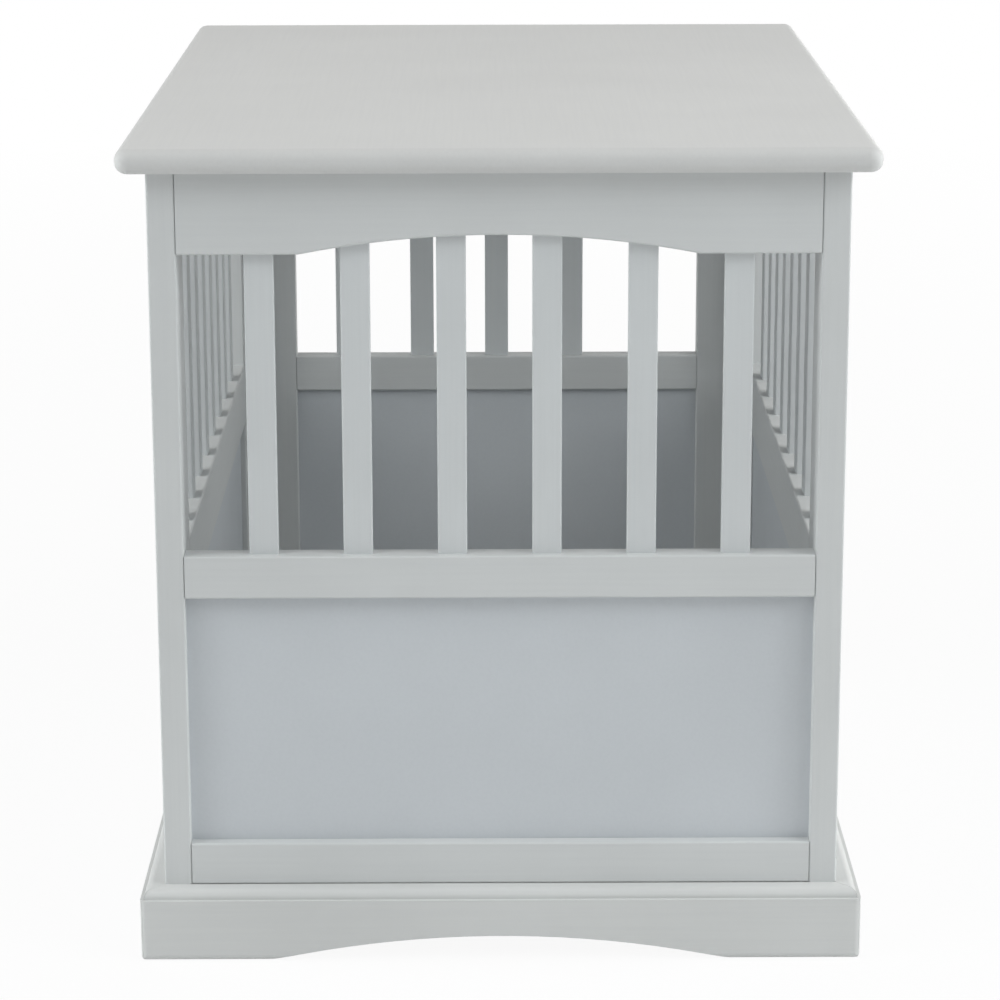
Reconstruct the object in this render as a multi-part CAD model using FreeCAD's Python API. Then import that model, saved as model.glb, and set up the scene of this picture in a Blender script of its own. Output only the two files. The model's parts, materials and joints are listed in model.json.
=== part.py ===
import FreeCAD, Part
import os

# A dog crate that doubles as an end table, in painted wood.
#
# Two glued side frames carry a loose table top. A fixed end is bolted between them at -Y,
# and a framed door hangs between them at +Y. Everything stands on a floor panel that is let
# into an arched, mitred plinth.
#
# Millimetres. X runs across the short ends, Y from the fixed end to the door, Z up.
# The origin is the middle of the footprint, on the floor.
#
# Every wall is drawn as if it were the fixed end: x along the wall, y = 0 on the outer face
# of the frame and growing inwards. on_wall() then turns it to its side of the crate.

V = FreeCAD.Vector
ORIGIN = V(0, 0, 0)
EDGE_SLACK = 1e-6            # for telling edges apart
X_AXIS = V(1, 0, 0)
Y_AXIS = V(0, 1, 0)
UP = V(0, 0, 1)
EIGHTH = 0.5 ** 0.5          # sine and cosine of an eighth of a turn

# ------------------------------------------------------------------ driving sizes
# Table top
TOP_WIDTH = 508.0            # across the short ends
TOP_LENGTH = 698.5           # from end to end
TOP_THICK = 17.0
TOP_OVERHANG = 19.0          # past the frame, all round
TOP_CORNER = 9.0             # corner radius seen from above
TOP_NOSE_UPPER = 7.5         # rounding of the upper edge
TOP_NOSE_LOWER = 8.0         # rounding of the lower edge
NOSE_LIMIT = 0.48            # most that either rounding takes of the thickness
CORNER_LIMIT = 0.95          # most that either rounding takes of the corner radius

# Boards of the frame
BOARD = 19.0                 # thickness of stiles, rails, aprons and stretcher
ARRIS = 1.5                  # rounding of their long edges
STILE_WIDTH = 51.0           # along the long side
FRAME_HEIGHT = 503.5         # floor panel to table top
APRON_HEIGHT = 56.5          # at its ends
ARCH_RISE = 13.0             # of every apron's lower edge
END_ARCH = 269.0             # width of the arch at both short ends
SIDE_ARCH = 395.0            # width of the arch on the long sides
MID_RAIL_TOP = 238.0         # top of every mid rail above the floor panel
SIDE_MID_RAIL = 51.0         # rail heights
SIDE_BOTTOM_RAIL = 51.0
END_MID_RAIL = 30.0
END_BOTTOM_RAIL = 30.0
STRETCHER_HEIGHT = 40.0
SEAM = 0.25                  # open joint at each end of a bolted rail

# Slats and panels
SLAT_WIDTH = 20.0
SLAT_THICK = 6.4
SLAT_ARRIS = 1.0
SLAT_TENON = 10.0            # let into the mid rail
SLAT_TENON_TOP = 8.0         # let into the apron, above the arch's crown
SIDE_SLATS = 8
END_SLATS = 6
DOOR_SLATS = 5
DOOR_SLAT_END = 44.4         # outer slats' centres to the door's stiles
PANEL_THICK = 4.8
PANEL_SET_BACK = 9.4         # panel face behind the rails' faces
PANEL_LET_IN = 5.5           # into its grooves, all round
GROOVE_PLAY = 0.1            # each face of a panel
GROOVE_DEPTH_PLAY = 0.5      # each edge of a panel

# Plinth and floor
PLINTH_HEIGHT = 51.0
PLINTH_THICK = 16.5
PLINTH_FOOT = 89.0           # flat foot at each end of a plinth board
PLINTH_RISE = 18.0           # of the arch between the feet
PLINTH_NOSE = 4.5            # rounding of the lower outer edge
PLINTH_CORNER = 4.5          # corner radius seen from above
MOULD_ROUND = 5.4            # quarter round along the upper outer edge
MOULD_DROP = 1.1             # straight side below the quarter round
MOULD_LEDGE = 2.8            # small flat step at its foot
MITRE_GAP = 0.3
FLOOR_THICK = 9.0
FLOOR_GAP = 0.8              # floor panel to plinth
CLEAT = 15.0                 # square batten under the floor panel
CORNER_BLOCK = 28.0          # square block in each plinth corner
BLOCK_CHAMFER = 6.0
BLOCK_LIFT = 2.0             # kept off the floor
CLEAT_GAP = 2.0              # cleat to corner block

# Door
DOOR_GAP = 2.0               # to the stile at each side
DOOR_GAP_ABOVE = 3.0
DOOR_GAP_BELOW = 3.0
DOOR_STILE = 41.0
DOOR_BOTTOM_RAIL = 41.0
DOOR_STOP_GAP = 1.0          # to the stretcher behind its top rail

# Hinges
HINGE_HEIGHT = 50.0
HINGE_INSET = 75.0           # hinge centre to the door's top or bottom
LEAF_WIDTH = 18.0            # from the pin
LEAF_THICK = 1.5
KNUCKLE_D = 6.0
KNUCKLE_COUNT = 5
KNUCKLE_LIFT = 0.4           # barrel off the face
KNUCKLE_GAP = 0.3            # between knuckles
LEAF_CLEAR = 3.8             # leaf edge to pin, where the other leaf has its knuckle
PIN_D = 3.0
PIN_HEAD_D = 5.0
PIN_HEAD = 1.0
PIN_EASE = 0.5               # bevel of the pin's head
LEAF_SCREW_X = 11.0          # screws to pin
LEAF_SCREWS = 3
LEAF_SCREW_PITCH = 17.0

# Sliding bolt and keeper
LATCH_LENGTH = 66.0
LATCH_HEIGHT = 24.0
LATCH_DROP = 12.5            # bolt below the top of the mid rail
LATCH_THICK = 1.5
PLATE_CORNER = 1.5           # corner radius of the bolt's and the keeper's plates
LATCH_INSET = 2.0            # plate to the door's edge
GUIDE_LENGTH = 8.0
GUIDE_FRONT = 1.0            # front guide to the plate's front
GUIDE_BACK = 16.0            # back guide to the plate's back
GUIDE_WALL = 1.8
BOLT_D = 6.0
BOLT_PLAY = 0.3              # around the bolt
BOLT_LIFT = 0.6              # bolt off the plate
BOLT_TIP = 1.5               # tip to the door's edge when open
BOLT_TRAVEL = 14.0
BOLT_EASE = 1.2
KNOB_D = 9.0
KNOB_NECK_D = 4.6
KNOB_PIN_D = 3.0
KNOB_PIN_DEPTH = 4.5         # into the bolt
KNOB_REACH = 8.0             # ball centre to bolt centre
KNOB_CLEAR = 2.0             # neck to back guide when open
KEEPER_WIDTH = 16.0
KEEPER_LOOP = 9.0            # length of the loop along the bolt
LATCH_SCREW_END = 4.5        # screws to the plate's ends
LATCH_SCREW_Z = 8.7          # screws above and below the bolt

# Fastenings
FIT = 0.05                   # clearance around each glued, pressed or screwed piece
DRILL_EXTRA = 1.0            # hole past the end of its screw or dowel
DOWEL_D = 8.0                # glued joints of the side frames
DOWEL_LENGTH = 36.0
DOWEL_INSET = 12.0           # dowel centre to the rail's edge
DOWEL_CHAMFER = 0.25         # of every dowel's ends, as a share of its radius
DOOR_DOWEL_D = 6.0
DOOR_DOWEL_INSET = 10.5
LOCATOR_D = 6.0              # loose dowel beside each bolt of the fixed end
LOCATOR_LENGTH = 28.0
LOCATOR_IN_STILE = 12.0
CONNECTOR_D = 6.0            # bolts that join the ends to the side frames
CONNECTOR_LENGTH = 50.0
CONNECTOR_HEAD_D = 11.0
CONNECTOR_HEAD = 5.0
CONNECTOR_SINK = 0.3         # head below the face
CONNECTOR_KEY = 4.0          # across the flats of its hexagon socket
CONNECTOR_KEY_DEPTH = 3.0
NUT_D = 10.0                 # barrel nuts
NUT_LENGTH = 13.0
NUT_SETBACK = 30.0           # nut to the rail's end
BOTTOM_BOLT_Z = 9.5          # bolt above the bottom rail's lower edge
BOTTOM_LOCATOR_Z = 19.0
MID_BOLT_Z = 9.0             # bolt below the mid rail's upper edge
MID_LOCATOR_Z = 19.0
APRON_BOLT_Z = 28.2          # bolt below the table top
APRON_LOCATOR_Z = 11.5
BRACKET_LEG = 22.0
BRACKET_WIDTH = 18.0
BRACKET_THICK = 2.0
BRACKET_BEND = 2.5
BRACKET_HOLE = 13.5          # from the bracket's corner
BRACKET_SPREAD = 150.0       # brackets from the middle of a long side
SIDE_SCREW_SPREAD = 160.0    # base screws from the middle of a long side
END_SCREW_SPREAD = 100.0     # base screws from the middle of the fixed end
BASE_BITE = 20.0             # base screws in the bottom rails
BLOCK_BITE = 10.0            # block screws in the plinth
BLOCK_SCREW_LOW = 12.0       # block screws above the block's foot
BLOCK_SCREW_RISE = 15.0      # from one board's screw to the other's

# Screws: shank, head and length under the face that the head sits in
SMALL_SCREW_D = 3.0
SMALL_SCREW_HEAD = 5.8
SMALL_SCREW_LENGTH = 14.0
BRACKET_SCREW_D = 3.5
BRACKET_SCREW_HEAD = 7.0
BRACKET_SCREW_LENGTH = 14.0
WOOD_SCREW_D = 4.0
WOOD_SCREW_HEAD = 8.0
PAN_RISE = 0.35              # height of a pan head, as a share of its width
PAN_CROWN = 0.7              # flat top of a pan head, as a share of its width
PAN_SHOULDER = 0.4           # straight side of a pan head, as a share of its height
RECESS_WIDTH = 0.16          # arms of the cross recess, as shares of the head's width
RECESS_SPAN = 0.55
RECESS_DEPTH = 0.16

# ------------------------------------------------------------------ levels and spans
FRAME_WIDTH = TOP_WIDTH - 2 * TOP_OVERHANG
FRAME_LENGTH = TOP_LENGTH - 2 * TOP_OVERHANG
DECK_Z = PLINTH_HEIGHT                         # top of plinth and floor panel
TOP_Z = DECK_Z + FRAME_HEIGHT                  # underside of the table top
MID_Z = DECK_Z + MID_RAIL_TOP                  # top of the mid rails
APRON_Z = TOP_Z - APRON_HEIGHT                 # lower edge of the aprons' shoulders
SLAT_Z = APRON_Z + ARCH_RISE + SLAT_TENON_TOP  # top of the slats
CLEAT_Z = DECK_Z - FLOOR_THICK                 # top of cleats and corner blocks
MIDDLE = BOARD / 2                             # centre line of every wall
END_SPAN = FRAME_WIDTH - 2 * BOARD             # between the side frames
SIDE_SPAN = FRAME_LENGTH - 2 * STILE_WIDTH     # between the stiles of a side frame
DOOR_WIDTH = END_SPAN - 2 * DOOR_GAP
DOOR_SPAN = DOOR_WIDTH - 2 * DOOR_STILE        # between the door's stiles
DOOR_FOOT = DECK_Z + DOOR_GAP_BELOW
DOOR_HEAD = TOP_Z - DOOR_GAP_ABOVE
STRETCHER_Y = BOARD + DOOR_STOP_GAP            # outer face of the stretcher
HINGE_X = -(END_SPAN - DOOR_GAP) / 2           # pin, in the middle of the door's gap
HINGE_Y = -(KNUCKLE_D / 2 + KNUCKLE_LIFT)
HINGE_HEIGHTS = (DOOR_FOOT + HINGE_INSET, DOOR_HEAD - HINGE_INSET)
LATCH_X = DOOR_WIDTH / 2 - LATCH_INSET         # front of the latch plate
LATCH_Z = MID_Z - LATCH_DROP
BOLT_Y = -(LATCH_THICK + BOLT_LIFT + BOLT_D / 2)

# side of the crate: (turn about Z, outer face to the origin)
WALLS = {
    "fixed_end": (0, FRAME_LENGTH / 2),
    "door_end": (180, FRAME_LENGTH / 2),
    "left": (-90, FRAME_WIDTH / 2),
    "right": (90, FRAME_WIDTH / 2),
}
WALL_LENGTHS = {"fixed_end": FRAME_WIDTH, "right": FRAME_LENGTH,
                "door_end": FRAME_WIDTH, "left": FRAME_LENGTH}
# the wall round the corner at each wall's +x end
NEXT_WALL = {"fixed_end": "right", "right": "door_end", "door_end": "left", "left": "fixed_end"}
# which way along each side frame the fixed end lies
TO_FIXED_END = {"left": 1, "right": -1}

parts = {}     # node name: its solids, in place


# ------------------------------------------------------------------ tools
def add(node, *solids):
    """Put solids in a node, each one a separate piece."""
    parts.setdefault(node, []).extend(solids)


def cut(tool, *nodes):
    """Take a tool out of every solid of the named nodes."""
    for node in nodes:
        parts[node] = [solid.cut(tool) for solid in parts[node]]


def on_wall(shape, side):
    """Move a shape from the drawing position to its side of the crate."""
    turn, reach = WALLS[side]
    return shape.translated(V(0, -reach, 0)).rotated(ORIGIN, UP, turn)


def box(x0, x1, y0, y1, z0, z1):
    return Part.makeBox(x1 - x0, y1 - y0, z1 - z0, V(x0, y0, z0))


def grown(shape, dx, dy, dz):
    """The box around a shape, with play on each side of it."""
    b = shape.BoundBox
    return box(b.XMin - dx, b.XMax + dx, b.YMin - dy, b.YMax + dy, b.ZMin - dz, b.ZMax + dz)


def edges_along(shape, direction):
    """The straight edges of a shape that run along a direction."""
    found = []
    for edge in shape.Edges:
        if edge.Curve.TypeId == "Part::GeomLine":
            run = edge.Vertexes[-1].Point - edge.Vertexes[0].Point
            if run.cross(direction).Length < EDGE_SLACK:
                found.append(edge)
    return found


def board(x0, x1, y0, y1, z0, z1, grain):
    """A straight board with its long edges eased."""
    body = box(x0, x1, y0, y1, z0, z1)
    return body.makeFillet(ARRIS, edges_along(body, grain))


def rod(radius, length, start, direction):
    return Part.makeCylinder(radius, length, start, direction)


def peg(radius, length, middle, direction):
    """A dowel with chamfered ends, and the hole for it."""
    start = middle - direction * (length / 2)
    body = rod(radius, length, start, direction)
    ends = [e for e in body.Edges if e.Curve.TypeId == "Part::GeomCircle"]
    hole = rod(radius + FIT, length + DRILL_EXTRA, start - direction * (DRILL_EXTRA / 2), direction)
    return body.makeChamfer(radius * DOWEL_CHAMFER, ends), hole


def arch_edges(width, rise, z):
    """An arch's curve from (-width/2, z) up over the middle to (width/2, z)."""
    return Part.Arc(V(-width / 2, 0, z), V(0, 0, z + rise), V(width / 2, 0, z)).toShape()


def arched_board(length, z0, z1, arch):
    """A board whose lower edge rises in an arch between two flat shoulders."""
    half = length / 2
    chain = [V(arch / 2, 0, z0), V(half, 0, z0), V(half, 0, z1),
             V(-half, 0, z1), V(-half, 0, z0), V(-arch / 2, 0, z0)]
    wire = Part.Wire([arch_edges(arch, ARCH_RISE, z0)] + Part.makePolygon(chain).Edges)
    body = Part.Face(wire).extrude(V(0, BOARD, 0))
    across = edges_along(body, Y_AXIS) + edges_along(body, UP)
    eased = [e for e in body.Edges if not any(e.isSame(other) for other in across)]
    return body.makeFillet(ARRIS, eased)


def spaced(count, span, width):
    """Centres of pieces set at even gaps between two ends."""
    gap = (span - count * width) / (count + 1)
    return [-span / 2 + gap + width / 2 + i * (gap + width) for i in range(count)]


def pitched(count, pitch):
    """Centres of pieces at a set pitch about the middle."""
    return [(i - (count - 1) / 2) * pitch for i in range(count)]


def hexagon(across_flats, depth, middle, direction):
    """A hexagon socket's tool, sunk from a point along a direction."""
    corner = V(across_flats / 3 ** 0.5, 0, 0)
    corners = [FreeCAD.Rotation(UP, 60 * i).multVec(corner) for i in range(6)]
    socket = Part.Face(Part.makePolygon(corners + corners[:1])).extrude(V(0, 0, depth))
    socket.Placement = FreeCAD.Placement(middle, FreeCAD.Rotation(UP, direction))
    return socket


def screw(face, direction, shank_d, head_d, length, flat=True):
    """A cross-recessed screw driven from a face point, and the hole for it.

    A flat head is sunk flush with the face, and a pan head stands on it.
    """
    head, shank = head_d / 2, shank_d / 2
    tip = shank_d
    recess_from = 0
    if flat:
        profile = [(0, 0), (head, 0), (shank, head - shank)]
    else:
        rise = head_d * PAN_RISE
        recess_from = -rise
        profile = [(0, -rise), (head * PAN_CROWN, -rise), (head, -rise * PAN_SHOULDER), (head, 0),
                   (shank, 0)]
    profile += [(shank, length - tip), (0, length)]
    body = turned(profile)
    arms = RECESS_WIDTH * head_d / 2, RECESS_SPAN * head_d / 2
    for across, along in (arms, arms[::-1]):
        depth = recess_from + RECESS_DEPTH * head_d
        body = body.cut(box(-across, across, -along, along, recess_from - 1, depth))

    wall = shank + FIT
    if flat:
        bore = [(0, 0), (head + FIT, 0), (wall, head - shank)]
    else:
        bore = [(0, 0), (wall, 0)]
    bore += [(wall, length + DRILL_EXTRA), (0, length + DRILL_EXTRA)]
    hole = turned(bore)
    spot = FreeCAD.Placement(face, FreeCAD.Rotation(UP, direction))
    body.Placement = spot
    hole.Placement = spot
    return body, hole


def turned(profile):
    """A solid turned about Z from (radius, z) points."""
    corners = [V(r, 0, z) for r, z in profile]
    return Part.Face(Part.makePolygon(corners + corners[:1])).revolve(ORIGIN, UP, 360)


# ------------------------------------------------------------------ plinth and floor
def plinth_board(length):
    """One mitred plinth board, with its moulded edge and arch."""
    top_out = PLINTH_THICK - MOULD_ROUND - MOULD_LEDGE
    round_z = PLINTH_HEIGHT - MOULD_ROUND
    ledge_z = round_z - MOULD_DROP
    nose = PLINTH_NOSE

    def at(out, z):
        return V(0, -out, z)

    section = [
        Part.LineSegment(at(0, 0), at(0, PLINTH_HEIGHT)),
        Part.LineSegment(at(0, PLINTH_HEIGHT), at(top_out, PLINTH_HEIGHT)),
        Part.Arc(at(top_out, PLINTH_HEIGHT),
                 at(top_out + MOULD_ROUND * EIGHTH, round_z + MOULD_ROUND * EIGHTH),
                 at(top_out + MOULD_ROUND, round_z)),
        Part.LineSegment(at(top_out + MOULD_ROUND, round_z), at(top_out + MOULD_ROUND, ledge_z)),
        Part.LineSegment(at(top_out + MOULD_ROUND, ledge_z), at(PLINTH_THICK, ledge_z)),
        Part.LineSegment(at(PLINTH_THICK, ledge_z), at(PLINTH_THICK, nose)),
        Part.Arc(at(PLINTH_THICK, nose),
                 at(PLINTH_THICK - nose * (1 - EIGHTH), nose * (1 - EIGHTH)),
                 at(PLINTH_THICK - nose, 0)),
        Part.LineSegment(at(PLINTH_THICK - nose, 0), at(0, 0)),
    ]
    outer = length + 2 * PLINTH_THICK
    face = Part.Face(Part.Wire([piece.toShape() for piece in section]))
    body = face.extrude(V(outer, 0, 0)).translated(V(-outer / 2, 0, 0))

    inset = MITRE_GAP / 2 / EIGHTH
    plan = [V(-length / 2 + inset, 0, 0), V(length / 2 - inset, 0, 0),
            V(outer / 2 - inset, -PLINTH_THICK, 0), V(-outer / 2 + inset, -PLINTH_THICK, 0)]
    mitred = Part.Face(Part.makePolygon(plan + plan[:1])).extrude(V(0, 0, PLINTH_HEIGHT))
    rounded = box(-outer / 2, outer / 2, -PLINTH_THICK, PLINTH_THICK, 0, PLINTH_HEIGHT)
    corners = [e for e in edges_along(rounded, UP) if e.Vertexes[0].Y < 0]
    body = body.common(mitred).common(rounded.makeFillet(PLINTH_CORNER, corners))

    arch = outer - 2 * PLINTH_FOOT
    sides = Part.makePolygon([V(arch / 2, 0, 0), V(arch / 2, 0, -1), V(-arch / 2, 0, -1),
                              V(-arch / 2, 0, 0)])
    void = Part.Face(Part.Wire([arch_edges(arch, PLINTH_RISE, 0)] + sides.Edges))
    return body.cut(void.extrude(V(0, -PLINTH_THICK, 0))).Solids[0]


def build_base():
    """Plinth, floor panel and the cleats under it."""
    for side, length in WALL_LENGTHS.items():
        add(f"plinth_{side}", on_wall(plinth_board(length), side))
        half = length / 2 - CORNER_BLOCK - CLEAT_GAP
        add("floor_cleats", on_wall(box(-half, half, 0, CLEAT, CLEAT_Z - CLEAT, CLEAT_Z), side))
    half_x, half_y = FRAME_WIDTH / 2 - FLOOR_GAP, FRAME_LENGTH / 2 - FLOOR_GAP
    add("floor_panel", box(-half_x, half_x, -half_y, half_y, CLEAT_Z, DECK_Z))


def build_corner_blocks():
    """A block in each plinth corner, screwed to both of its boards."""
    reach = CORNER_BLOCK + BLOCK_BITE
    low = BLOCK_LIFT + BLOCK_SCREW_LOW
    high = low + BLOCK_SCREW_RISE
    for side, length in WALL_LENGTHS.items():
        end = length / 2
        start = end - CORNER_BLOCK
        block = box(start, end, 0, CORNER_BLOCK, BLOCK_LIFT, CLEAT_Z)
        inner = [e for e in edges_along(block, UP)
                 if e.Vertexes[0].X < end - EDGE_SLACK and e.Vertexes[0].Y > EDGE_SLACK]
        block = on_wall(block.makeChamfer(BLOCK_CHAMFER, inner), side)
        drives = [(V(end - CORNER_BLOCK / 2, CORNER_BLOCK, low), -Y_AXIS, side),
                  (V(start, CORNER_BLOCK / 2, high), X_AXIS, NEXT_WALL[side])]
        for spot, direction, board_side in drives:
            body, hole = screw(spot, direction, WOOD_SCREW_D, WOOD_SCREW_HEAD, reach)
            add("corner_block_screws", on_wall(body, side))
            block = block.cut(on_wall(hole, side))
            cut(on_wall(hole, side), f"plinth_{board_side}")
        add("corner_blocks", block)


def fix_base():
    """Screws up through cleat and floor panel into the bottom rails."""
    rows = {"left": (-SIDE_SCREW_SPREAD, 0, SIDE_SCREW_SPREAD),
            "right": (-SIDE_SCREW_SPREAD, 0, SIDE_SCREW_SPREAD),
            "fixed_end": (-END_SCREW_SPREAD, END_SCREW_SPREAD)}
    length = CLEAT + FLOOR_THICK + BASE_BITE
    for side, places in rows.items():
        for x in places:
            body, hole = screw(V(x, MIDDLE, CLEAT_Z - CLEAT), UP, WOOD_SCREW_D, WOOD_SCREW_HEAD, length)
            add("base_fixing_screws", on_wall(body, side))
            cut(on_wall(hole, side), "floor_cleats", "floor_panel", f"{side}_bottom_rail")


# ------------------------------------------------------------------ frames
def add_slats(node, side, centres, lower, upper):
    """Slats let into a mid rail below and an apron above."""
    for x in centres:
        body = box(x - SLAT_WIDTH / 2, x + SLAT_WIDTH / 2, MIDDLE - SLAT_THICK / 2,
                   MIDDLE + SLAT_THICK / 2, MID_Z - SLAT_TENON, SLAT_Z)
        mortise = on_wall(grown(body, FIT, FIT, 0), side)
        add(node, on_wall(body.makeFillet(SLAT_ARRIS, edges_along(body, UP)), side))
        cut(mortise, lower, upper)


def add_panel(node, side, span, z0, z1, around):
    """A thin panel let into the grooves of the pieces around it."""
    half = span / 2 + PANEL_LET_IN
    body = box(-half, half, PANEL_SET_BACK, PANEL_SET_BACK + PANEL_THICK,
               z0 - PANEL_LET_IN, z1 + PANEL_LET_IN)
    groove = grown(body, GROOVE_DEPTH_PLAY, GROOVE_PLAY, GROOVE_DEPTH_PLAY)
    add(node, on_wall(body, side))
    cut(on_wall(groove, side), *around)


def dowel_joint(group, side, radius, x, z0, z1, inset, rail, stile):
    """Two dowels across the joint between a rail's end and a stile."""
    for z in (z0 + inset, z1 - inset):
        body, hole = peg(radius, DOWEL_LENGTH, V(x, MIDDLE, z), X_AXIS)
        add(group, on_wall(body, side))
        cut(on_wall(hole, side), rail, stile)


def build_side_frame(side):
    """Two stiles, three rails, slats and a panel, doweled and glued."""
    half = SIDE_SPAN / 2
    edge = half + STILE_WIDTH
    stiles = {}
    for name, sign in (("fixed_end", TO_FIXED_END[side]), ("door_end", -TO_FIXED_END[side])):
        node = f"{side}_stile_{name}"
        near, far = sorted((sign * half, sign * edge))
        add(node, on_wall(board(near, far, 0, BOARD, DECK_Z, TOP_Z, UP), side))
        stiles[sign] = node

    levels = {"bottom_rail": (DECK_Z, DECK_Z + SIDE_BOTTOM_RAIL),
              "mid_rail": (MID_Z - SIDE_MID_RAIL, MID_Z),
              "apron": (APRON_Z, TOP_Z)}
    for name, (z0, z1) in levels.items():
        if name == "apron":
            body = arched_board(SIDE_SPAN, z0, z1, SIDE_ARCH)
        else:
            body = board(-half, half, 0, BOARD, z0, z1, X_AXIS)
        add(f"{side}_{name}", on_wall(body, side))
        for sign, stile in stiles.items():
            dowel_joint("frame_dowels", side, DOWEL_D / 2, sign * half, z0, z1, DOWEL_INSET,
                        f"{side}_{name}", stile)

    add_panel(f"{side}_panel", side, SIDE_SPAN, levels["bottom_rail"][1], levels["mid_rail"][0],
              [f"{side}_bottom_rail", f"{side}_mid_rail", *stiles.values()])
    add_slats(f"{side}_slats", side, spaced(SIDE_SLATS, SIDE_SPAN, SLAT_WIDTH),
              f"{side}_mid_rail", f"{side}_apron")


def build_fixed_end():
    """Apron, two rails, slats and a panel that fit between the side frames."""
    side = "fixed_end"
    length = END_SPAN - 2 * SEAM
    half = length / 2
    mid_foot = MID_Z - END_MID_RAIL
    bottom_top = DECK_Z + END_BOTTOM_RAIL
    stiles = ["left_stile_fixed_end", "right_stile_fixed_end"]
    add("fixed_end_apron", on_wall(arched_board(length, APRON_Z, TOP_Z, END_ARCH), side))
    add("fixed_end_mid_rail",
        on_wall(board(-half, half, 0, BOARD, mid_foot, MID_Z, X_AXIS), side))
    add("fixed_end_bottom_rail",
        on_wall(board(-half, half, 0, BOARD, DECK_Z, bottom_top, X_AXIS), side))
    add_panel("fixed_end_panel", side, END_SPAN, bottom_top, mid_foot,
              ["fixed_end_bottom_rail", "fixed_end_mid_rail", *stiles])
    add_slats("fixed_end_slats", side, spaced(END_SLATS, END_SPAN, SLAT_WIDTH),
              "fixed_end_mid_rail", "fixed_end_apron")

    joints = {"fixed_end_bottom_rail": (DECK_Z + BOTTOM_BOLT_Z, DECK_Z + BOTTOM_LOCATOR_Z),
              "fixed_end_mid_rail": (MID_Z - MID_BOLT_Z, MID_Z - MID_LOCATOR_Z),
              "fixed_end_apron": (TOP_Z - APRON_BOLT_Z, TOP_Z - APRON_LOCATOR_Z)}
    for rail, (bolt_z, locator_z) in joints.items():
        for sign, stile in zip((-1, 1), stiles):
            connect(side, sign, MIDDLE, bolt_z, rail, stile)
            locator_x = sign * (END_SPAN / 2 + LOCATOR_IN_STILE - LOCATOR_LENGTH / 2)
            body, hole = peg(LOCATOR_D / 2, LOCATOR_LENGTH, V(locator_x, MIDDLE, locator_z), X_AXIS)
            add("frame_dowels", on_wall(body, side))
            cut(on_wall(hole, side), rail, stile)


def build_stretcher():
    """The batten across the door end that ties the side frames and stops the door."""
    side = "door_end"
    half = END_SPAN / 2 - SEAM
    body = board(-half, half, STRETCHER_Y, STRETCHER_Y + BOARD, TOP_Z - STRETCHER_HEIGHT, TOP_Z, X_AXIS)
    add("door_end_stretcher", on_wall(body, side))
    for sign, stile in ((-1, "right_stile_door_end"), (1, "left_stile_door_end")):
        connect(side, sign, STRETCHER_Y + MIDDLE, TOP_Z - APRON_BOLT_Z, "door_end_stretcher", stile)


def connect(side, sign, y, z, rail, stile):
    """A bolt through a stile into a barrel nut in the rail's end."""
    inward = X_AXIS * -sign
    face = V(sign * FRAME_WIDTH / 2, y, z)
    seat = face + inward * (CONNECTOR_SINK + CONNECTOR_HEAD)
    bolt = rod(CONNECTOR_HEAD_D / 2, CONNECTOR_HEAD, face + inward * CONNECTOR_SINK, inward)
    bolt = bolt.fuse(rod(CONNECTOR_D / 2, CONNECTOR_LENGTH, seat, inward)).removeSplitter()
    bolt = bolt.cut(hexagon(CONNECTOR_KEY, CONNECTOR_KEY_DEPTH, face + inward * CONNECTOR_SINK, inward))
    sink = rod(CONNECTOR_HEAD_D / 2 + FIT, CONNECTOR_SINK + CONNECTOR_HEAD, face, inward)
    bore = rod(CONNECTOR_D / 2 + FIT, CONNECTOR_LENGTH + DRILL_EXTRA, seat, inward)

    nut_x = sign * (END_SPAN / 2 - SEAM - NUT_SETBACK)
    nut_y = y - NUT_LENGTH / 2
    nut = rod(NUT_D / 2, NUT_LENGTH, V(nut_x, nut_y, z), Y_AXIS)
    pocket = rod(NUT_D / 2 + FIT, BOARD, V(nut_x, nut_y, z), Y_AXIS)
    add("connector_bolts", on_wall(bolt, side))
    add("barrel_nuts", on_wall(nut.cut(bore), side))
    cut(on_wall(sink.fuse(bore), side), stile)
    cut(on_wall(bore.fuse(pocket), side), rail)


# ------------------------------------------------------------------ door
def build_door():
    """The framed door: slats above, a panel below, like the fixed end."""
    side = "door_end"
    half, edge = DOOR_SPAN / 2, DOOR_WIDTH / 2
    stiles = {-1: "door_hinge_stile", 1: "door_latch_stile"}
    for sign, node in stiles.items():
        near, far = sorted((sign * half, sign * edge))
        add(node, on_wall(board(near, far, 0, BOARD, DOOR_FOOT, DOOR_HEAD, UP), side))

    levels = {"door_bottom_rail": (DOOR_FOOT, DOOR_FOOT + DOOR_BOTTOM_RAIL),
              "door_mid_rail": (MID_Z - END_MID_RAIL, MID_Z),
              "door_top_rail": (APRON_Z, DOOR_HEAD)}
    for node, (z0, z1) in levels.items():
        if node == "door_top_rail":
            body = arched_board(DOOR_SPAN, z0, z1, END_ARCH)
        else:
            body = board(-half, half, 0, BOARD, z0, z1, X_AXIS)
        add(node, on_wall(body, side))
        for sign, stile in stiles.items():
            dowel_joint("door_dowels", side, DOOR_DOWEL_D / 2, sign * half, z0, z1,
                        DOOR_DOWEL_INSET, node, stile)

    add_panel("door_panel", side, DOOR_SPAN, levels["door_bottom_rail"][1],
              levels["door_mid_rail"][0], ["door_bottom_rail", "door_mid_rail", *stiles.values()])
    pitch = (DOOR_SPAN - 2 * DOOR_SLAT_END) / (DOOR_SLATS - 1)
    add_slats("door_slats", side, pitched(DOOR_SLATS, pitch), "door_mid_rail", "door_top_rail")


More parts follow.
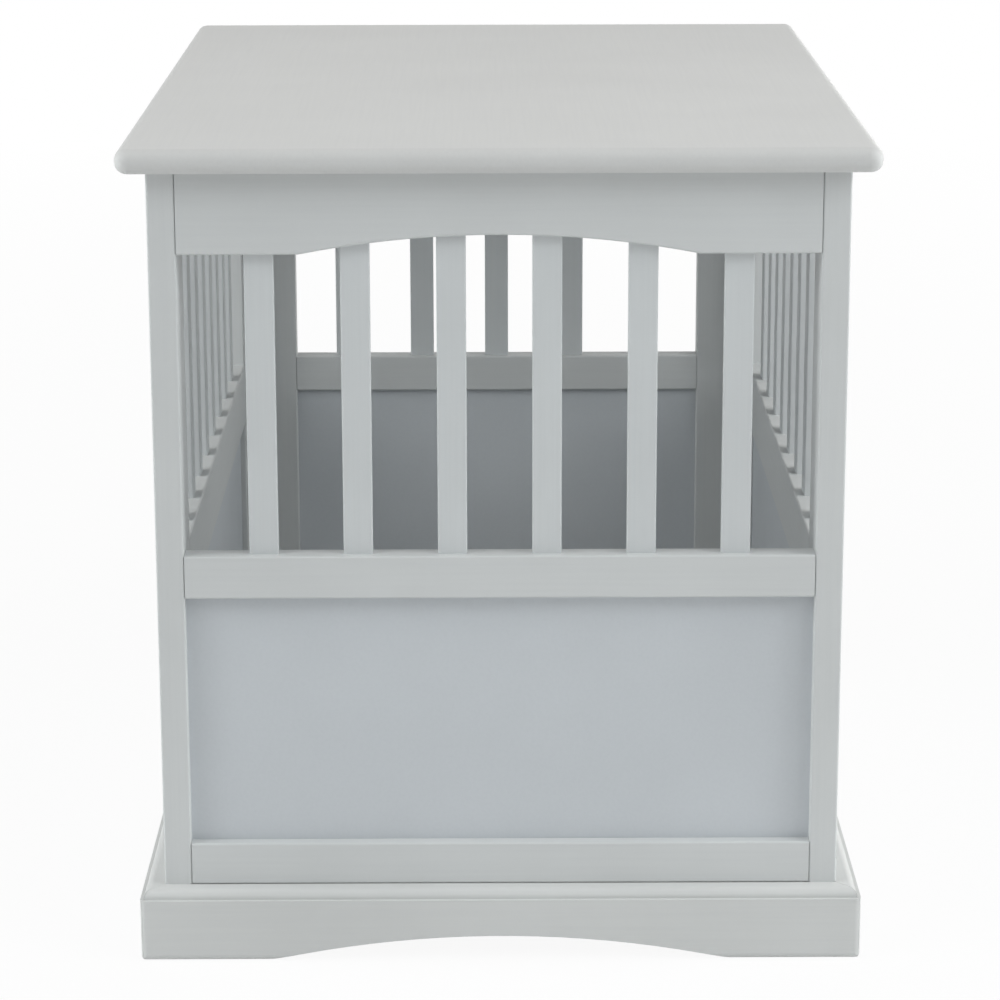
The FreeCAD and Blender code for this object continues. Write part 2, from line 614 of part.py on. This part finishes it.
def hinge_leaf(middle_z, sign, first):
    """A leaf flat on its wood, with every second knuckle; sign gives its side of the pin."""
    foot = middle_z - HINGE_HEIGHT / 2
    step = HINGE_HEIGHT / KNUCKLE_COUNT
    near, far = sorted((HINGE_X + sign * LEAF_CLEAR, HINGE_X + sign * LEAF_WIDTH))
    leaf = box(near, far, -LEAF_THICK, 0, foot, foot + HINGE_HEIGHT)
    near, far = sorted((HINGE_X, HINGE_X + sign * LEAF_CLEAR))
    for i in range(first, KNUCKLE_COUNT, 2):
        z0, z1 = foot + i * step + KNUCKLE_GAP / 2, foot + (i + 1) * step - KNUCKLE_GAP / 2
        leaf = leaf.fuse(box(near, far, -LEAF_THICK, 0, z0, z1))
        leaf = leaf.fuse(rod(KNUCKLE_D / 2, z1 - z0, V(HINGE_X, HINGE_Y, z0), UP))
    bore = rod(PIN_D / 2 + FIT, HINGE_HEIGHT, V(HINGE_X, HINGE_Y, foot), UP)
    return leaf.cut(bore).removeSplitter()


def build_hinges():
    """Two surface hinges: frame leaves and pins on the crate, door leaves on the door."""
    side = "door_end"
    sides = ((-1, 0, "hinge_frame_leaves", "hinge_frame_screws", "right_stile_door_end"),
             (1, 1, "hinge_door_leaves", "hinge_door_screws", "door_hinge_stile"))
    for middle_z in HINGE_HEIGHTS:
        for sign, first, leaves, screws, wood in sides:
            leaf = hinge_leaf(middle_z, sign, first)
            for offset in pitched(LEAF_SCREWS, LEAF_SCREW_PITCH):
                spot = V(HINGE_X + sign * LEAF_SCREW_X, -LEAF_THICK, middle_z + offset)
                body, hole = screw(spot, Y_AXIS, SMALL_SCREW_D, SMALL_SCREW_HEAD, SMALL_SCREW_LENGTH)
                add(screws, on_wall(body, side))
                leaf = leaf.cut(hole)
                cut(on_wall(hole, side), wood)
            add(leaves, on_wall(leaf, side))
        length = HINGE_HEIGHT - KNUCKLE_GAP
        pin_r, head_r, top = PIN_D / 2, PIN_HEAD_D / 2, length + PIN_HEAD
        pin = turned([(0, 0), (pin_r, 0), (pin_r, length), (head_r, length),
                      (head_r, top - PIN_EASE), (head_r - PIN_EASE, top), (0, top)])
        foot = V(HINGE_X, HINGE_Y, middle_z - HINGE_HEIGHT / 2 + KNUCKLE_GAP / 2)
        add("hinge_pins", on_wall(pin.translated(foot), side))


def loop(x0, x1):
    """A round-topped loop over the bolt, standing on its plate."""
    outer = BOLT_D / 2 + BOLT_PLAY + GUIDE_WALL
    arch = rod(outer, x1 - x0, V(x0, BOLT_Y, LATCH_Z), X_AXIS)
    legs = box(x0, x1, BOLT_Y, -LATCH_THICK, LATCH_Z - outer, LATCH_Z + outer)
    crown = box(x0, x1, BOLT_Y - outer, -LATCH_THICK / 2, LATCH_Z - outer, LATCH_Z + outer)
    return arch.common(crown).fuse(legs)


def build_latch():
    """A sliding bolt on the door, and its keeper on the left stile."""
    side = "door_end"
    back = LATCH_X - LATCH_LENGTH
    front_guide = LATCH_X - GUIDE_FRONT - GUIDE_LENGTH
    back_guide = back + GUIDE_BACK
    half = LATCH_HEIGHT / 2
    bore = rod(BOLT_D / 2 + BOLT_PLAY, FRAME_WIDTH, V(0, BOLT_Y, LATCH_Z), X_AXIS)

    plate = box(back, LATCH_X, -LATCH_THICK, 0, LATCH_Z - half, LATCH_Z + half)
    body = plate.makeFillet(PLATE_CORNER, edges_along(plate, Y_AXIS))
    for start in (front_guide, back_guide):
        body = body.fuse(loop(start, start + GUIDE_LENGTH))
    body = body.cut(bore).removeSplitter()
    for x in (back + LATCH_SCREW_END, LATCH_X - LATCH_SCREW_END):
        for z in (LATCH_Z - LATCH_SCREW_Z, LATCH_Z + LATCH_SCREW_Z):
            fastener, hole = screw(V(x, -LATCH_THICK, z), Y_AXIS,
                                   SMALL_SCREW_D, SMALL_SCREW_HEAD, SMALL_SCREW_LENGTH)
            add("latch_body_screws", on_wall(fastener, side))
            body = body.cut(hole)
            cut(on_wall(hole, side), "door_latch_stile", "door_mid_rail")
    add("latch_body", on_wall(body, side))

    tip = DOOR_WIDTH / 2 - BOLT_TIP
    tail = back_guide - BOLT_TRAVEL
    bolt = rod(BOLT_D / 2, tip - tail, V(tail, BOLT_Y, LATCH_Z), X_AXIS)
    rims = [e for e in bolt.Edges if e.Curve.TypeId == "Part::GeomCircle"]
    bolt = bolt.makeFillet(BOLT_EASE, rims)
    knob_x = back_guide + GUIDE_LENGTH + KNOB_CLEAR + KNOB_NECK_D / 2
    pin_end = V(knob_x, BOLT_Y - BOLT_D / 2 + KNOB_PIN_DEPTH, LATCH_Z)
    ball = V(knob_x, BOLT_Y - KNOB_REACH, LATCH_Z)
    knob = Part.makeSphere(KNOB_D / 2, ball, -Y_AXIS)
    knob = knob.fuse(rod(KNOB_PIN_D / 2, KNOB_REACH, pin_end, -Y_AXIS))
    neck_foot = V(knob_x, BOLT_Y - BOLT_D / 2 - FIT, LATCH_Z)
    neck = rod(KNOB_NECK_D / 2, KNOB_REACH - BOLT_D / 2 - FIT, neck_foot, -Y_AXIS)
    socket = rod(KNOB_PIN_D / 2 + FIT, KNOB_PIN_DEPTH + DRILL_EXTRA, pin_end, -Y_AXIS)
    add("latch_bolt", on_wall(bolt.cut(socket), side))
    add("latch_knob", on_wall(knob.fuse(neck).removeSplitter(), side))

    middle = (END_SPAN + BOARD) / 2
    plate = box(middle - KEEPER_WIDTH / 2, middle + KEEPER_WIDTH / 2, -LATCH_THICK, 0,
                LATCH_Z - half, LATCH_Z + half)
    keeper = plate.makeFillet(PLATE_CORNER, edges_along(plate, Y_AXIS))
    keeper = keeper.fuse(loop(middle - KEEPER_LOOP / 2, middle + KEEPER_LOOP / 2))
    keeper = keeper.cut(bore).removeSplitter()
    for z in (LATCH_Z - LATCH_SCREW_Z, LATCH_Z + LATCH_SCREW_Z):
        fastener, hole = screw(V(middle, -LATCH_THICK, z), Y_AXIS,
                               SMALL_SCREW_D, SMALL_SCREW_HEAD, SMALL_SCREW_LENGTH)
        add("keeper_screws", on_wall(fastener, side))
        keeper = keeper.cut(hole)
        cut(on_wall(hole, side), "left_stile_door_end")
    add("latch_keeper", on_wall(keeper, side))


# ------------------------------------------------------------------ table top
def build_top():
    """The table top, rounded along every edge, and the brackets that hold it down."""
    half_x, half_y = TOP_WIDTH / 2, TOP_LENGTH / 2
    top = box(-half_x, half_x, -half_y, half_y, TOP_Z, TOP_Z + TOP_THICK)
    top = top.makeFillet(TOP_CORNER, edges_along(top, UP))
    upper = [e for e in top.Edges if e.BoundBox.ZMin > TOP_Z + TOP_THICK / 2]
    limit = min(TOP_THICK * NOSE_LIMIT, TOP_CORNER * CORNER_LIMIT)
    top = top.makeFillet(min(TOP_NOSE_UPPER, limit), upper)
    lower = [e for e in top.Edges if e.BoundBox.ZMax < TOP_Z + TOP_THICK / 4]
    top = top.makeFillet(min(TOP_NOSE_LOWER, limit), lower)
    add("table_top", top)

    seats = [("left", -BRACKET_SPREAD, BOARD, "left_apron"),
             ("left", BRACKET_SPREAD, BOARD, "left_apron"),
             ("right", -BRACKET_SPREAD, BOARD, "right_apron"),
             ("right", BRACKET_SPREAD, BOARD, "right_apron"),
             ("fixed_end", 0, BOARD, "fixed_end_apron"),
             ("door_end", 0, STRETCHER_Y + BOARD, "door_end_stretcher")]
    for side, x, y, wood in seats:
        add_bracket(side, x, y, wood)


def add_bracket(side, x, y, wood):
    """An angle bracket in the corner between a rail's inner face and the table top."""
    half = BRACKET_WIDTH / 2
    angle = box(x - half, x + half, y, y + BRACKET_LEG, TOP_Z - BRACKET_LEG, TOP_Z)
    hollow = box(x - half, x + half, y + BRACKET_THICK, y + BRACKET_LEG,
                 TOP_Z - BRACKET_LEG, TOP_Z - BRACKET_THICK)
    bracket = angle.cut(hollow)
    bend = [e for e in edges_along(bracket, X_AXIS)
            if abs(e.Vertexes[0].Y - y - BRACKET_THICK) < EDGE_SLACK
            and abs(e.Vertexes[0].Z - TOP_Z + BRACKET_THICK) < EDGE_SLACK]
    bracket = bracket.makeFillet(BRACKET_BEND, bend)
    drives = [(V(x, y + BRACKET_HOLE, TOP_Z - BRACKET_THICK), UP, "table_top"),
              (V(x, y + BRACKET_THICK, TOP_Z - BRACKET_HOLE), -Y_AXIS, wood)]
    for spot, direction, target in drives:
        fastener, hole = screw(spot, direction, BRACKET_SCREW_D, BRACKET_SCREW_HEAD,
                               BRACKET_SCREW_LENGTH, flat=False)
        add("top_bracket_screws", on_wall(fastener, side))
        bracket = bracket.cut(hole)
        cut(on_wall(hole, side), target)
    add("top_brackets", on_wall(bracket, side))


# ------------------------------------------------------------------ build and save
build_base()
build_corner_blocks()
build_side_frame("left")
build_side_frame("right")
build_fixed_end()
build_stretcher()
fix_base()
build_door()
build_hinges()
build_latch()
build_top()

os.makedirs("parts", exist_ok=True)
for node, solids in parts.items():
    shape = solids[0] if len(solids) == 1 else Part.makeCompound(solids)
    shape.exportStep(f"parts/{node}.step")
    print(f"{node}: {len(shape.Solids)} solid(s), {shape.Volume / 1000:.1f} cm3, valid {shape.isValid()}")
print(len(parts), "nodes")
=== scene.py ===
import json
import math

import bpy
from mathutils import Matrix, Vector

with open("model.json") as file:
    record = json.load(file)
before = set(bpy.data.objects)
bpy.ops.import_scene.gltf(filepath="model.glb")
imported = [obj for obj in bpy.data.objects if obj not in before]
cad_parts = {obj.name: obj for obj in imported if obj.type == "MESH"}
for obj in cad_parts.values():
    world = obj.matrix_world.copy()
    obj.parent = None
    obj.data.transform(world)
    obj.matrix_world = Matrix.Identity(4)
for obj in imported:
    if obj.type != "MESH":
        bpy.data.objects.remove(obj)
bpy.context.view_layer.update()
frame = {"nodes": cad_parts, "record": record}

# A dog crate that doubles as an end table, in satin paint. Metres; X runs across the short
# ends, Y from the fixed end to the door, Z up.

# ------------------------------------------------------------------ camera
CAMERA_PLACE = (-0.0083, -2.5687, 0.9154)
CAMERA_PITCH = 0.2564        # down, in radians
CAMERA_YAW = 0.0038          # to the right
CAMERA_ROLL = -0.0022
FOCAL_PIXELS = 3402.4        # focal length, in pixels of a picture 1000 wide
PICTURE = 1000
SENSOR = 36.0                # mm
CLIP_END = 100.0

# ------------------------------------------------------------------ light
AMBIENT = 0.16               # strength of the world on the object
LAMP_SIZE = 1.8              # side of each square lamp
WARM = (1.0, 0.975, 0.93)
COOL = (0.94, 0.985, 1.0)
LAMPS = {                    # name: (place, power in watts, colour)
    "left": ((-2.8, -0.6, 1.0), 28.0, COOL),
    "right": ((2.8, -0.6, 1.0), 31.0, COOL),
    "left_high": ((-2.2, -0.4, 2.2), 17.0, WARM),
    "right_high": ((2.2, -0.4, 2.2), 19.0, WARM),
    "left_front": ((-2.2, -1.7, 2.2), 24.0, COOL),
    "right_front": ((2.2, -1.7, 2.2), 27.0, COOL),
    "back": ((2.0, 2.8, 1.2), 18.0, WARM),
}
AIM = (0.0, 0.0, 0.32)       # where every lamp points
FLOOR_REACH = 30.0
FLOOR_TONE = 0.88
FLOOR_ROUGHNESS = 0.9
FLOOR_LIFT = 0.93            # share of plain white that is seen on the floor by the object
FLOOR_FADE = (0.6, 3.5)      # metres from the object over which it turns to plain white

# ------------------------------------------------------------------ surfaces
PAINT = {                    # slot: sRGB colour
    "painted_top": (214, 214, 213),
    "painted_frame": (213, 215, 215),
    "painted_slats": (213, 216, 217),
    "painted_panel": (207, 211, 215),
    "painted_plinth": (213, 214, 213),
    "painted_floor": (224, 224, 222),
}
BARE = {                     # slot: sRGB colour
    "raw_wood": (222, 196, 152),
    "dowel_wood": (226, 204, 166),
}
METAL = {                    # slot: (sRGB colour, roughness)
    "satin_nickel": ((188, 186, 181), 0.34),
    "nickel_screws": ((182, 180, 176), 0.30),
    "zinc_steel": ((168, 170, 174), 0.38),
}
SMOOTH_ANGLE = math.radians(32)
WHITE = (1, 1, 1, 1)

# Scales are repeats per metre, tones are shares of the slot's colour from dark to light, and
# depths are the height of a relief.
ACROSS, ALONG = 420.0, 9.0   # scales across and along the grain
GRAIN_SCALES = {
    "x": (ALONG, ACROSS, ACROSS),
    "y": (ACROSS, ALONG, ACROSS),
    "z": (ACROSS, ACROSS, ALONG),
    "none": (ACROSS, ACROSS, ACROSS),
}

PAINT_ROUGHNESS = (0.48, 0.62)
PAINT_SPECULAR = 0.4
PAINT_IOR = 1.46
PAINT_TONES = (0.965, 1.025)
STREAK_TINT = (0.982, 0.982, 0.984, 1)
STREAK_DEPTH = 0.00004
CLOUD_SCALE = (7.0, 7.0, 7.0)            # broad patches
CLOUD_OFFSET = (3.1, 1.7, 5.3)
PEEL_SCALE = (1400.0, 1400.0, 1400.0)    # fine pebbling of sprayed paint
PEEL_DEPTH = 0.00002

WOOD_ROUGHNESS = (0.62, 0.78)
WOOD_TONES = (0.78, 1.05)
RING_STRETCH = 0.2           # scale of the growth rings, as a share of the pores'
PORE_TINT = (0.80, 0.76, 0.70, 1)
PORE_DEPTH = 0.00015

METAL_SPREAD = (-0.07, 0.09)             # of the roughness, about the slot's own
METAL_TONES = (0.90, 1.04)
BRUSH_SCALE = (400.0, 400.0, 6000.0)
BRUSH_DEPTH = 0.00001
DULL_SCALE = (90.0, 90.0, 90.0)


def linear(color):
    """An sRGB colour in 0 to 255 as linear values."""
    values = [c / 255 for c in color]
    return tuple(v / 12.92 if v <= 0.04045 else ((v + 0.055) / 1.055) ** 2.4 for v in values)


def shades(color, tones):
    """The linear colours at several shares of an sRGB one."""
    return [tuple(min(1.0, c * tone) for c in linear(color)) + (1.0,) for tone in tones]


class Graph:
    """The node tree of a material or a world, under construction."""

    def __init__(self, owner):
        owner.use_nodes = True
        self.tree = owner.node_tree

    def node(self, kind, inputs=(), **settings):
        made = self.tree.nodes.new(kind)
        for key, value in settings.items():
            setattr(made, key, value)
        self.feed(made, dict(inputs))
        return made

    def feed(self, node, inputs):
        """Links a node's inputs, or sets them where they are constant."""
        for key, value in inputs.items():
            if isinstance(value, bpy.types.NodeSocket):
                self.tree.links.new(value, node.inputs[key])
            else:
                node.inputs[key].default_value = value

    def surface(self, inputs):
        self.feed(self.tree.nodes["Principled BSDF"], inputs)

    def place(self, scale, offset=(0, 0, 0)):
        """Object coordinates, stretched."""
        coordinates = self.node("ShaderNodeTexCoord")
        inputs = {"Vector": coordinates.outputs["Object"], "Scale": scale, "Location": offset}
        return self.node("ShaderNodeMapping", inputs).outputs["Vector"]

    def noise(self, vector, detail, roughness=0.5):
        inputs = {"Vector": vector, "Scale": 1.0, "Detail": detail, "Roughness": roughness}
        return self.node("ShaderNodeTexNoise", inputs).outputs["Fac"]

    def ramp(self, factor, positions, colors):
        """Two colours, blended between two positions of the factor."""
        made = self.node("ShaderNodeValToRGB", {"Fac": factor})
        for element, position, color in zip(made.color_ramp.elements, positions, colors):
            element.position = position
            element.color = color
        return made.outputs["Color"]

    def multiply(self, first, second):
        inputs = {0: 1.0, 6: first, 7: second}
        made = self.node("ShaderNodeMix", inputs, data_type="RGBA", blend_type="MULTIPLY")
        return made.outputs[2]

    def span(self, factor, low, high, start=0.0, end=1.0):
        """A value from start to end, turned into low to high."""
        inputs = {"Value": factor, "From Min": start, "From Max": end,
                  "To Min": low, "To Max": high}
        return self.node("ShaderNodeMapRange", inputs).outputs["Result"]

    def bump(self, height, depth, under=None):
        """A relief, over another one where that is given."""
        made = self.node("ShaderNodeBump", {"Height": height, "Distance": depth, "Strength": 1.0})
        if under is not None:
            self.feed(made, {"Normal": under})
        return made.outputs["Normal"]

    def seen_rays(self):
        """1 for the rays of the camera and of reflections, 0 for light on the object."""
        rays = self.node("ShaderNodeLightPath").outputs
        inputs = {0: rays["Is Camera Ray"], 1: rays["Is Glossy Ray"]}
        return self.node("ShaderNodeMath", inputs, operation="MAXIMUM").outputs[0]


def paint(slot, grain):
    """Satin paint: the wood's grain just tells through it, over a fine sprayed texture."""
    material = bpy.data.materials.new(f"{slot}_{grain}")
    g = Graph(material)
    streaks = g.noise(g.place(GRAIN_SCALES[grain]), detail=3.0)
    clouds = g.noise(g.place(CLOUD_SCALE, CLOUD_OFFSET), detail=2.0)
    peel = g.noise(g.place(PEEL_SCALE), detail=1.0)
    tone = g.ramp(clouds, (0.30, 0.70), shades(PAINT[slot], PAINT_TONES))
    shade = g.ramp(streaks, (0.32, 0.60), (STREAK_TINT, WHITE))
    g.surface({
        "Base Color": g.multiply(tone, shade),
        "Roughness": g.span(clouds, *PAINT_ROUGHNESS),
        "IOR": PAINT_IOR,
        "Specular IOR Level": PAINT_SPECULAR,
        "Normal": g.bump(streaks, STREAK_DEPTH, under=g.bump(peel, PEEL_DEPTH)),
    })
    return material


def bare_wood(slot, grain):
    """Unpainted wood with its growth rings and pores."""
    material = bpy.data.materials.new(f"{slot}_{grain}")
    g = Graph(material)
    ring_scale = [s * RING_STRETCH for s in GRAIN_SCALES[grain]]
    rings = g.noise(g.place(ring_scale), detail=4.0, roughness=0.6)
    pores = g.noise(g.place(GRAIN_SCALES[grain]), detail=2.0)
    tone = g.ramp(rings, (0.35, 0.62), shades(BARE[slot], WOOD_TONES))
    shade = g.ramp(pores, (0.30, 0.45), (PORE_TINT, WHITE))
    g.surface({
        "Base Color": g.multiply(tone, shade),
        "Roughness": g.span(rings, *WOOD_ROUGHNESS),
        "Normal": g.bump(pores, PORE_DEPTH),
    })
    return material


def metal(slot):
    """Brushed, plated steel."""
    material = bpy.data.materials.new(slot)
    g = Graph(material)
    color, roughness = METAL[slot]
    brushing = g.noise(g.place(BRUSH_SCALE), detail=2.0)
    dulling = g.noise(g.place(DULL_SCALE), detail=3.0)
    g.surface({
        "Base Color": g.ramp(dulling, (0.3, 0.7), shades(color, METAL_TONES)),
        "Metallic": 1.0,
        "Roughness": g.span(brushing, *(roughness + change for change in METAL_SPREAD)),
        "Normal": g.bump(brushing, BRUSH_DEPTH),
    })
    return material


def grain_of(node):
    """Which way the wood of a node runs."""
    if node.endswith("panel"):
        return "none"
    if "stile" in node or node.endswith("slats"):
        return "z"
    if node.startswith(("left", "right")) or node in ("plinth_left", "plinth_right", "table_top"):
        return "y"
    return "x"


def dress_nodes():
    """Gives every CAD node the material of its slot."""
    made = {}
    slots = {row["node"]: row["material_slot"] for row in frame["record"]["subparts"]}
    for name, node in frame["nodes"].items():
        slot = slots[name]
        grain = grain_of(name)
        key = (slot, "") if slot in METAL else (slot, grain)
        if key not in made:
            if slot in PAINT:
                made[key] = paint(slot, grain)
            elif slot in BARE:
                made[key] = bare_wood(slot, grain)
            else:
                made[key] = metal(slot)
        node.data.materials.clear()
        node.data.materials.append(made[key])
        node.data.shade_smooth()
        node.data.set_sharp_from_angle(angle=SMOOTH_ANGLE)


# ------------------------------------------------------------------ stage
def build_floor():
    """A pale floor that keeps the shadow, lifted towards white where it is seen."""
    bpy.ops.mesh.primitive_plane_add(size=FLOOR_REACH)
    floor = bpy.context.object
    floor.name = "floor"
    material = bpy.data.materials.new("floor")
    g = Graph(material)
    g.surface({
        "Base Color": (FLOOR_TONE, FLOOR_TONE, FLOOR_TONE, 1),
        "Roughness": FLOOR_ROUGHNESS,
        "Specular IOR Level": 0.0,
    })
    coordinates = g.node("ShaderNodeTexCoord")
    away = g.node("ShaderNodeVectorMath", {0: coordinates.outputs["Object"]}, operation="LENGTH")
    lift = g.span(away.outputs["Value"], FLOOR_LIFT, 1.0, *FLOOR_FADE)
    share = g.node("ShaderNodeMath", {0: g.seen_rays(), 1: lift}, operation="MULTIPLY")
    matt = g.tree.nodes["Principled BSDF"]
    white = g.node("ShaderNodeEmission")
    blend = g.node("ShaderNodeMixShader",
                   {0: share.outputs[0], 1: matt.outputs[0], 2: white.outputs[0]})
    g.feed(g.tree.nodes["Material Output"], {"Surface": blend.outputs[0]})
    floor.data.materials.append(material)


def build_world():
    """Even light from all round, which the camera and reflections see as white."""
    world = bpy.data.worlds.new("studio")
    bpy.context.scene.world = world
    g = Graph(world)
    strength = g.span(g.seen_rays(), AMBIENT, 1.0)
    g.feed(g.tree.nodes["Background"], {"Color": WHITE, "Strength": strength})


def add_lamp(name, place, power, color):
    data = bpy.data.lights.new(name, "AREA")
    data.shape = "SQUARE"
    data.size = LAMP_SIZE
    data.energy = power
    data.color = color
    lamp = bpy.data.objects.new(name, data)
    lamp.location = place
    lamp.visible_camera = False
    lamp.rotation_mode = "QUATERNION"
    lamp.rotation_quaternion = (Vector(AIM) - Vector(place)).to_track_quat("-Z", "Y")
    bpy.context.scene.collection.objects.link(lamp)


def build_camera():
    """The photograph's view, pitched down, with no shift."""
    ahead = Vector((math.sin(CAMERA_YAW) * math.cos(CAMERA_PITCH),
                    math.cos(CAMERA_YAW) * math.cos(CAMERA_PITCH), -math.sin(CAMERA_PITCH)))
    level = ahead.cross(Vector((0, 0, 1))).normalized()
    upright = level.cross(ahead)
    right = level * math.cos(CAMERA_ROLL) + upright * math.sin(CAMERA_ROLL)
    up = upright * math.cos(CAMERA_ROLL) - level * math.sin(CAMERA_ROLL)
    turn = Matrix((right, up, -ahead)).transposed()
    data = bpy.data.cameras.new("camera")
    data.sensor_width = SENSOR
    data.lens = FOCAL_PIXELS * SENSOR / PICTURE
    data.clip_end = CLIP_END
    camera = bpy.data.objects.new("camera", data)
    camera.matrix_world = Matrix.Translation(CAMERA_PLACE) @ turn.to_4x4()
    bpy.context.scene.collection.objects.link(camera)
    bpy.context.scene.camera = camera


dress_nodes()
build_floor()
build_world()
for lamp_name, lamp in LAMPS.items():
    add_lamp(lamp_name, *lamp)
build_camera()
bpy.context.scene.view_settings.view_transform = "Standard"
